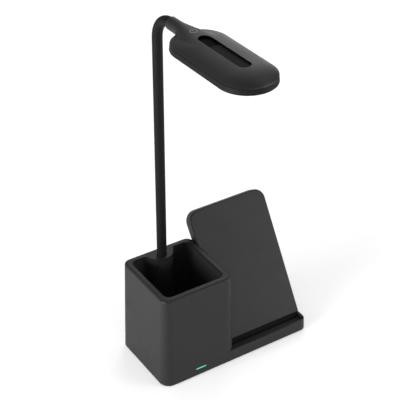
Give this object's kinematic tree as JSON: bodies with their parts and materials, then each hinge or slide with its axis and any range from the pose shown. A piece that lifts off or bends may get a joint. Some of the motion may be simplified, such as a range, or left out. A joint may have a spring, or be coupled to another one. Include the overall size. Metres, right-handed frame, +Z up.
{
  "type": "desk lamp with pen holder",
  "caption": "Desk lamp on a base that joins a square pen cup and a leaning phone charging stand, with a bendable neck and a flat oval light head.",
  "frame": {"origin": "on the desk, under the middle of the base's footprint", "axes": "+Z up, -Y to the front where the phone stand and the lamp head face, +X to the phone stand"},
  "size_m": [0.17, 0.1793, 0.3644],
  "materials": {
    "body_plastic": "satin",
    "well_plastic": "matte",
    "neck_rubber": "matte",
    "neck_steel": "satin",
    "screw_steel": "satin",
    "ballast_steel": "matte",
    "grip_rubber": "matte",
    "foot_rubber": "matte",
    "board_laminate": "satin",
    "chip_plastic": "matte",
    "coil_copper": "satin",
    "ferrite": "matte",
    "socket_steel": "satin",
    "nut_brass": "satin",
    "lead_rubber": "satin",
    "indicator_clear": "gloss",
    "led_white": "satin",
    "diffuser_white": "satin",
    "slot_gloss": "gloss",
    "key_grey": "satin"
  },
  "bodies": {
    "base": {"main_housing": "body_plastic", "pen_well": "well_plastic", "bottom_cover": "body_plastic", "cover_screws": "screw_steel", "anti_slip_pad": "foot_rubber", "ballast_plate": "ballast_steel", "trough_grip": "grip_rubber", "stand_panel": "body_plastic", "stand_rear_cover": "body_plastic", "stand_screws": "screw_steel", "charging_coil": "coil_copper", "ferrite_sheet": "ferrite", "charger_board": "board_laminate", "main_board": "board_laminate", "board_components": "chip_plastic", "usb_c_socket": "socket_steel", "indicator_lens": "indicator_clear", "indicator_led": "led_white", "neck_socket": "body_plastic", "neck_nut": "nut_brass", "lamp_lead": "lead_rubber", "neck_sleeve_root": "neck_rubber", "neck_core_root": "neck_steel"},
    "neck_1": {"neck_sleeve_1": "neck_rubber", "neck_core_1": "neck_steel"},
    "neck_2": {"neck_sleeve_2": "neck_rubber", "neck_core_2": "neck_steel"},
    "neck_3": {"neck_sleeve_3": "neck_rubber", "neck_core_3": "neck_steel"},
    "neck_4": {"neck_sleeve_4": "neck_rubber", "neck_core_4": "neck_steel"},
    "neck_5": {"neck_sleeve_5": "neck_rubber", "neck_core_5": "neck_steel"},
    "neck_6": {"neck_sleeve_6": "neck_rubber", "neck_core_6": "neck_steel"},
    "arch_lower": {"neck_sleeve_arch_lower": "neck_rubber", "neck_core_arch_lower": "neck_steel"},
    "arch_upper": {"neck_sleeve_arch_upper": "neck_rubber", "neck_core_arch_upper": "neck_steel"},
    "head": {"head_upper_shell": "body_plastic", "head_lower_frame": "body_plastic", "head_wire": "lead_rubber", "diffuser": "diffuser_white", "led_board": "board_laminate", "led_chips": "led_white", "head_screws": "screw_steel", "slot_floor": "slot_gloss", "touch_electrode": "coil_copper", "touch_key": "key_grey", "neck_sleeve_stub": "neck_rubber", "neck_core_stub": "neck_steel"}
  },
  "joints": [
    {"name": "neck_bend_fore_1", "type": "hinge", "parent": "base", "child": "neck_1", "pos_m": [-0.04365, 0.0286, 0.116], "axis": [1, 0, 0], "range_deg": [-20, 20]},
    {"name": "neck_bend_side_1", "type": "hinge", "parent": "neck_1", "child": "neck_2", "pos_m": [-0.04365, 0.0286, 0.156], "axis": [0, 1, 0], "range_deg": [-20, 20]},
    {"name": "neck_bend_fore_2", "type": "hinge", "parent": "neck_2", "child": "neck_3", "pos_m": [-0.04365, 0.0286, 0.196], "axis": [1, 0, 0], "range_deg": [-20, 20]},
    {"name": "neck_bend_side_2", "type": "hinge", "parent": "neck_3", "child": "neck_4", "pos_m": [-0.04365, 0.0286, 0.236], "axis": [0, 1, 0], "range_deg": [-20, 20]},
    {"name": "neck_bend_fore_3", "type": "hinge", "parent": "neck_4", "child": "neck_5", "pos_m": [-0.04365, 0.0286, 0.276], "axis": [1, 0, 0], "range_deg": [-20, 20]},
    {"name": "neck_bend_side_3", "type": "hinge", "parent": "neck_5", "child": "neck_6", "pos_m": [-0.04365, 0.0286, 0.316], "axis": [0, 1, 0], "range_deg": [-20, 20]},
    {"name": "head_tip_1", "type": "hinge", "parent": "neck_6", "child": "arch_lower", "pos_m": [-0.04365, 0.0286, 0.3351], "axis": [1, 0, 0], "range_deg": [-20, 20]},
    {"name": "head_swing", "type": "hinge", "parent": "arch_lower", "child": "arch_upper", "pos_m": [-0.04365, 0.02186, 0.35136], "axis": [0, 0.7071, 0.7071], "range_deg": [-25, 25]},
    {"name": "head_tip_2", "type": "hinge", "parent": "arch_upper", "child": "head", "pos_m": [-0.04365, 0.0056, 0.3581], "axis": [1, 0, 0], "range_deg": [-20, 20]}
  ],
  "couplings": [
    {"joint": "neck_bend_fore_2", "follows": "neck_bend_fore_1", "ratio": 1},
    {"joint": "neck_bend_fore_3", "follows": "neck_bend_fore_1", "ratio": 1},
    {"joint": "neck_bend_side_2", "follows": "neck_bend_side_1", "ratio": 1},
    {"joint": "neck_bend_side_3", "follows": "neck_bend_side_1", "ratio": 1},
    {"joint": "head_tip_2", "follows": "head_tip_1", "ratio": 1}
  ]
}
